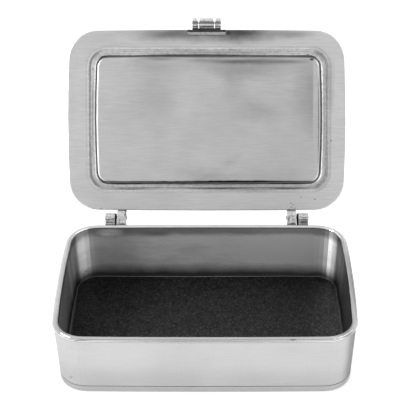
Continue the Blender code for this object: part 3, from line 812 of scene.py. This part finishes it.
# The tone of 1.9 brightens the inner face as painted light; the foot is painted reflection of the leather and
# the brow painted shade under the rim.
bare_and_shaded_inside = {
    "tone": 1.9, "roughness": 0.46, "stretch": 0.9,
    "foot": 0.1, "foot_heights": (0.0045, 0.0115), "brow": 0.42, "brow_heights": (0.0275, 0.0315),
    "marks": inside_shades_and_highlights, "high_marks": brow_highlights_and_shades,
}
wall_pewter = pewter(
    "wall_pewter", lightness=0.51, roughness=0.36, brush="round", marks=on_wall, inside=bare_and_shaded_inside
)
rim_pewter = pewter("rim_pewter", lightness=0.88, roughness=0.24, brush="round", marks=on_rim)
base_pewter = pewter("base_pewter", lightness=0.41, roughness=0.32, brush="round")
repaint("body_wall", wall_pewter)
repaint("body_rim", rim_pewter)
repaint("base_plate", base_pewter)
print("nodes in the wall's finish:", len(wall_pewter.node_tree.nodes))

# %% [markdown]
# ## The lid's finishes
#
# The lid is satin all over. Frame and panel could share one finish, but the sheet of the panel is
# a little darker and smoother than its frame, and only the frame has a dull moulding.

# %% Finishes of the lid
lid_pewter = pewter(
    "lid_pewter", lightness=0.75, roughness=0.42, crevice=0.35, marks=on_flange, dull=by_the_moulding
)
panel_pewter = pewter("panel_pewter", lightness=0.71, roughness=0.40, crevice=0.35, marks=on_panel)
repaint("lid_frame", lid_pewter)
repaint("lid_panel", panel_pewter)
flange_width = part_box("lid_frame")[1].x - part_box("lid_panel")[1].x
print("the panel starts", round(1000 * flange_width, 1), "mm in from the lid's right edge")

# %% [markdown]
# ## The fittings' finishes
#
# The hinges and the latch are as bright as the rim, because they are handled and rub. Each could
# be marked by itself, but the left and the right hinge are one kind of piece, so they share a
# finish whose painted shades stand on both sides. The rear pins are painted dark, as shade for
# the slots between the knuckles, and the latch pin is bright.

# %% Finishes of the fittings
# The box knuckles are painted black from here outwards, as shade in the slot beside each lid knuckle.
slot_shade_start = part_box("lid_knuckle_right")[1].x
on_box_knuckles = on_knuckles(box_knuckle_shades, slot_shade_start)
on_lid_knuckles = on_knuckles(lid_knuckle_shades)
latch_pewter = pewter("latch_pewter", lightness=0.92, roughness=0.24, crevice=0.3, marks=on_latch)
box_knuckle_pewter = pewter("box_knuckle_pewter", lightness=0.88, roughness=0.24, marks=on_box_knuckles)
lid_knuckle_pewter = pewter("lid_knuckle_pewter", lightness=0.90, roughness=0.24, marks=on_lid_knuckles)
# The rear pins are painted dark as shade, so the gaps between the knuckles look black.
slot_shade_pin = pewter("slot_shade_pin", lightness=0.1, roughness=0.3)
bright_pin = pewter("bright_pin", lightness=0.8, roughness=0.2, crevice=0)
for side in ("left", "right"):
    repaint(f"box_knuckle_{side}", box_knuckle_pewter)
    repaint(f"lid_knuckle_{side}", lid_knuckle_pewter)
    repaint(f"hinge_pin_{side}", slot_shade_pin)
for piece_name in ("latch_plate", "latch_tongue"):
    repaint(piece_name, latch_pewter)
repaint("latch_pin", bright_pin)
print(len(bpy.data.materials), "materials so far")
print("the black slot is", round(1000 * slot_shade_start, 1), "mm from the middle")

# %% [markdown]
# ## The leather lining
#
# A sheet of thin black leather is cut to the floor's outline and laid in. It could be a flat
# slab, as in the drawing, but real leather is never quite flat. The piece starts as a fine grid
# at the lining's size, its corners are pulled round, and a low wave lifts it here and there.

# %% Leather sheet
leather_low, leather_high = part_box("floor_leather")
leather_gap = 0.0002
leather_radius = 0.0118
leather_sink = 0.00025
half_x = leather_high.x - leather_gap
half_y = leather_high.y - leather_gap
print("leather bed", [round(1000 * v, 1) for v in leather_high - leather_low], "mm")


def rounded_corner(x, y, radius):
    """Where a point of the sheet goes when its corners are made round."""
    over_x, over_y = abs(x) - (half_x - radius), abs(y) - (half_y - radius)
    if over_x <= 0 or over_y <= 0:
        return x, y
    pull = max(over_x, over_y) / math.hypot(over_x, over_y)
    return (
        math.copysign(half_x - radius + over_x * pull, x),
        math.copysign(half_y - radius + over_y * pull, y),
    )


def low_wave(x, y):
    """How far the sheet rises at a place. Its highest wave stays under the drawn lining's top."""
    long_wave = 0.00012 * math.sin(61 * x + 2.1) * math.sin(83 * y + 0.7)
    return long_wave + 0.00006 * math.sin(190 * x + 140 * y)


bpy.ops.object.select_all(action="DESELECT")
bpy.ops.mesh.primitive_grid_add(x_subdivisions=96, y_subdivisions=60, size=1, location=(0, 0, 0))
bpy.ops.transform.resize(value=(2 * half_x, 2 * half_y, 1))
bpy.ops.object.transform_apply(location=False, rotation=False, scale=True)
lining = bpy.context.object
lining.name = "leather_sheet"
for corner in lining.data.vertices:
    x, y = rounded_corner(corner.co.x, corner.co.y, leather_radius)
    corner.co = (x, y, leather_high.z - leather_sink + low_wave(x, y))
print("sheet of", round(2000 * half_x, 1), "by", round(2000 * half_y, 1), "mm")

# %% [markdown]
# ## The sheet's thickness and edge
#
# The sheet is a surface so far. It could be extruded by hand, but Solidify keeps an even
# thickness over the waves. A narrow bevel then takes the sharpness off the cut edge, and smooth
# shading hides the facets of the grid.

# %% Thickness and edge
thickness = lining.modifiers.new("thickness", "SOLIDIFY")
thickness.thickness = 0.0010
thickness.offset = -1
bpy.ops.object.modifier_apply(modifier=thickness.name)
soft_edge = lining.modifiers.new("soft_edge", "BEVEL")
soft_edge.width = 0.0003
soft_edge.segments = 3
soft_edge.limit_method = "ANGLE"
soft_edge.angle_limit = math.radians(50)
bpy.ops.object.modifier_apply(modifier=soft_edge.name)
bpy.ops.object.shade_smooth_by_angle(angle=math.radians(60))
print("leather sheet has", len(lining.data.polygons), "faces")

# %% [markdown]
# ## The leather's grain
#
# Black leather shows as a dull sheen on many small cells with dark lines between them. A picture
# of leather could be wrapped on it. Here a Voronoi texture gives the cells and a distorted noise
# gives the creases, which are deepest at the front left, where the sheet was pressed in.

# %% Leather grain
leather, leather_tree, leather_shader = new_material("black_leather")
leather_place = add_node(leather_tree, "ShaderNodeTexCoord").outputs["Object"]
cells = add_node(
    leather_tree, "ShaderNodeTexVoronoi", {"feature": "DISTANCE_TO_EDGE"}, Vector=leather_place, Scale=600,
).outputs["Distance"]
wrinkles = noise(leather_tree, leather_place, 430, 2, Distortion=0.6)
smooth_part = smudge(leather_tree, leather_place, (-50, -36), (42, 40), 0.0)
deep_creases = ramp_value(leather_tree, wrinkles, 0.38, 0.6, 0.35, 1.35)
faint_creases = ramp_value(leather_tree, wrinkles, 0.36, 0.6, 0.72, 1.08)
creases = blend_value(leather_tree, smooth_part, deep_creases, faint_creases)
grain = multiply(leather_tree, ramp_value(leather_tree, cells, 0.02, 0.35, 0.5, 1), creases)
grain_range = (0.1, 1.6)
print("leather grain has", len(leather_tree.nodes), "nodes")

# %% [markdown]
# ## The leather's colour
#
# Its black is uneven, and each cell is a little lighter than the lines round it. The cut edge is
# grey where the dye didn't reach, and painted paler along the back, as painted light where the light
# falls on it. An edge like that could be a second piece, but it is only a colour, so it follows the
# outline.

# %% Leather colour
dye = noise(leather_tree, leather_place, 60, 4)
leather_tone = multiply(
    leather_tree, spread(leather_tree, dye, 0.010, 0.014),
    ramp_value(leather_tree, grain, *grain_range, 0.3, 1.9),
)
leather_depth = coordinate(leather_tree, leather_place, "Y")
ragged_place = ragged(leather_tree, leather_place, 0.004, 0.0003)
leather_edge = outline_distance(leather_tree, ragged_place, -leather_high, leather_high, leather_radius)
cut_edge = ramp_value(leather_tree, leather_edge, -0.0012, -0.0005, 0, 1)
# Painted light: the grey cut edge is paler along the back.
edge_grey_and_light = ramp_value(leather_tree, leather_depth, 0.036, 0.042, 0.09, 0.2)
leather_tone = blend_value(leather_tree, cut_edge, leather_tone, edge_grey_and_light)
leather_tree.links.new(grey(leather_tree, leather_tone), leather_shader.inputs["Base Color"])
print("leather colour brings it to", len(leather_tree.nodes), "nodes")

# %% [markdown]
# ## The leather's sheen
#
# The sheen grows towards the front, where the light skims the floor, and it is strongest at the
# right end, which is scuffed. Sheen could be set by the roughness alone. Here the strength of
# the reflection follows the grain as well, so that each cell glints and its borders stay dark.

# %% Leather sheen
sheen_marks = [((-70, 0), (48, 70), 0.5), ((-50, 30), (40, 26), 0.6), ((70, 0), (20, 80), 2.6)]
sheen = ramp_value(leather_tree, leather_depth, -0.040, 0.042, 0.62, 0.10, smooth=False)
glint = ramp_value(leather_tree, grain, *grain_range, 0.2, 2.7, smooth=False)
sheen = multiply(leather_tree, sheen, glint)
sheen = multiply(leather_tree, sheen, smudges(leather_tree, leather_place, sheen_marks))
leather_tree.links.new(sheen, leather_shader.inputs["Specular IOR Level"])
leather_tree.links.new(spread(leather_tree, dye, 0.42, 0.6), leather_shader.inputs["Roughness"])
leather_bump = add_node(leather_tree, "ShaderNodeBump", Strength=1.0, Distance=0.0003, Height=grain)
leather_tree.links.new(leather_bump.outputs["Normal"], leather_shader.inputs["Normal"])
lining.data.materials.clear()
lining.data.materials.append(leather)
print("leather finish has", len(leather_tree.nodes), "nodes")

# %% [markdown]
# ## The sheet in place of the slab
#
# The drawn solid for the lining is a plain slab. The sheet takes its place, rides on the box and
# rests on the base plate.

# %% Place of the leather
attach(lining, "box")
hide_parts("floor_leather")
